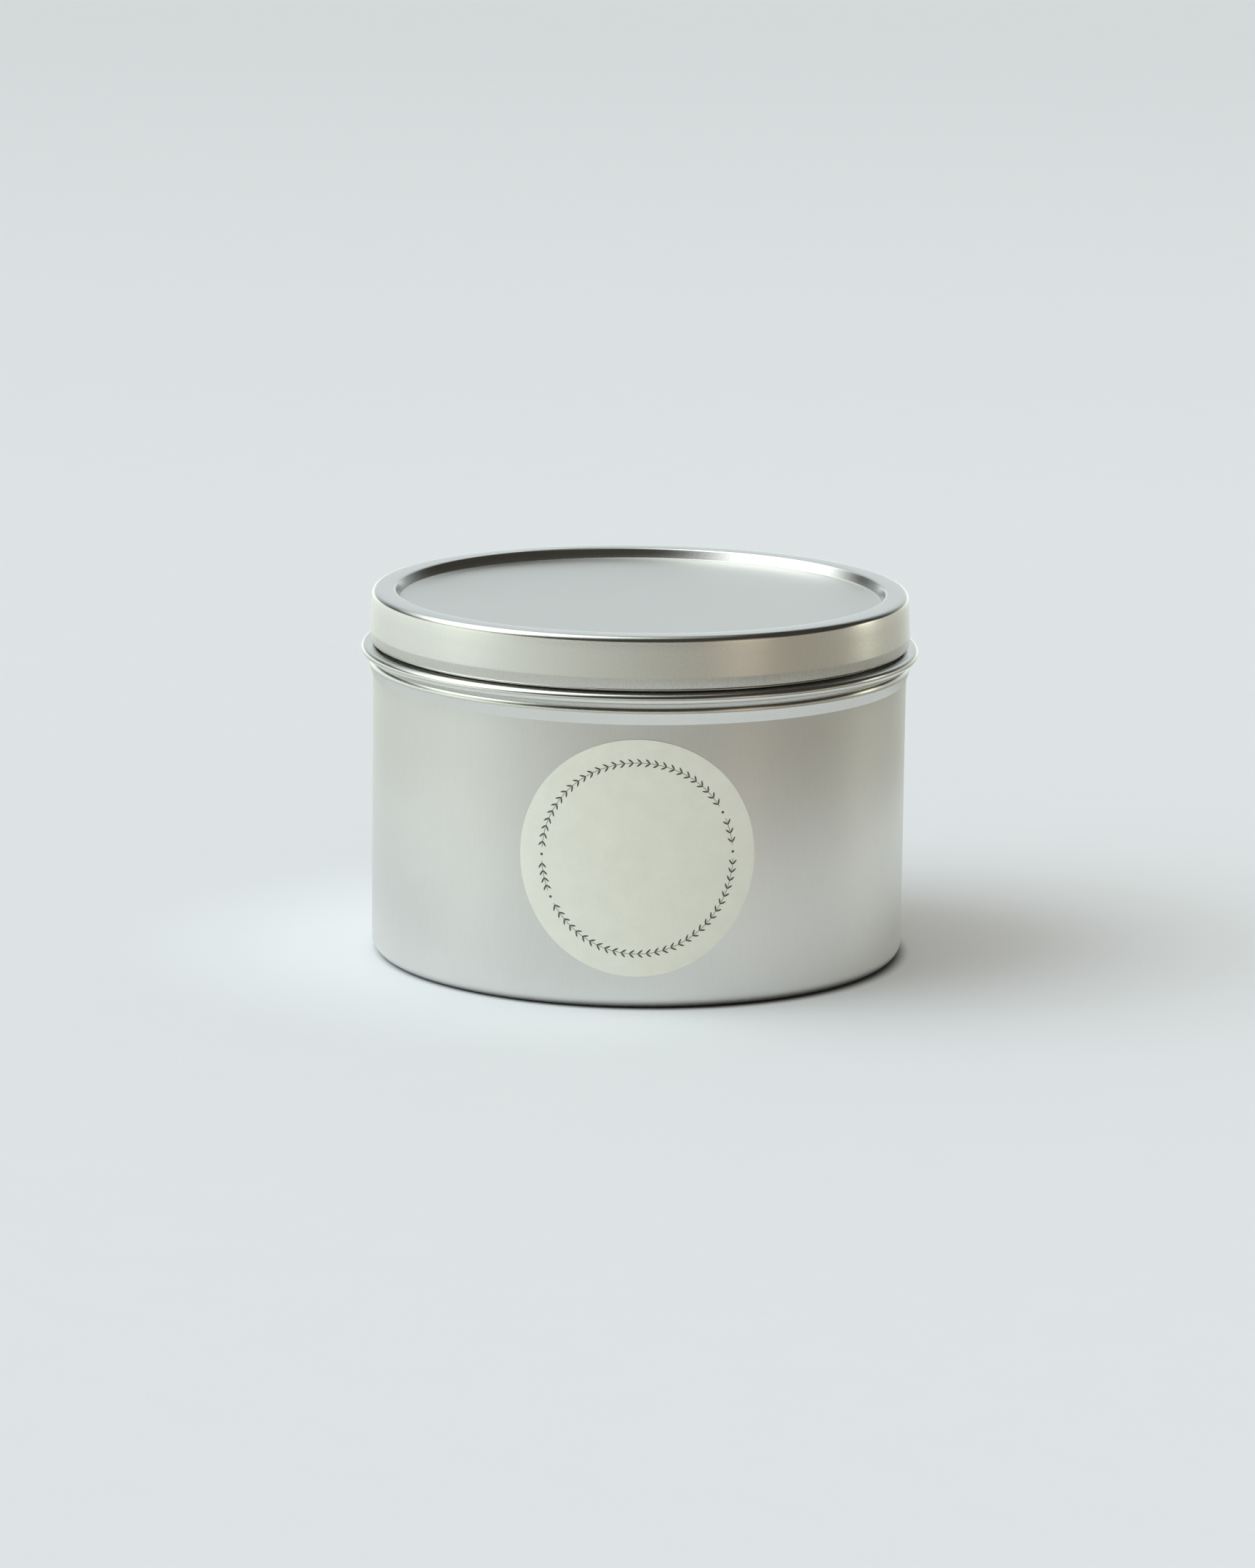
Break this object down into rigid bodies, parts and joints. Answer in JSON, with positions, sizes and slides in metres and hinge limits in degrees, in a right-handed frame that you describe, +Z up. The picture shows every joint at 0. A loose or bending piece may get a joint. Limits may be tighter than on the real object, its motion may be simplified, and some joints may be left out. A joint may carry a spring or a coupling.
{
  "type": "candle tin",
  "caption": "Round tinplate container candle with a slip lid that lifts off, a stop bead, cast wax, a braided wick and a round paper front label.",
  "frame": {"origin": "centre of the foot ring, on the surface that the tin stands on", "axes": "+Z up along the tin's axis; -Y out through the front label; +X to the viewer's right when facing the label"},
  "size_m": [0.0834, 0.0834, 0.055],
  "materials": {
    "tinplate": "satin",
    "lid_tinplate": "satin",
    "tab_tinplate": "satin",
    "wax": "satin",
    "wick_cotton": "matte",
    "foam": "matte",
    "label_paper": "matte",
    "base_label_paper": "matte"
  },
  "bodies": {
    "tin": {"tin_body": "tinplate", "wax_fill": "wax", "wick": "wick_cotton", "wick_sustainer": "tab_tinplate", "wick_sticker": "foam", "front_label": "label_paper", "base_label": "base_label_paper"},
    "lid": {"lid": "lid_tinplate"}
  },
  "joints": [
    {"name": "lid_lift", "type": "slide", "parent": "tin", "child": "lid", "axis": [0, 0, 1], "range_m": [0, 0.06]}
  ]
}
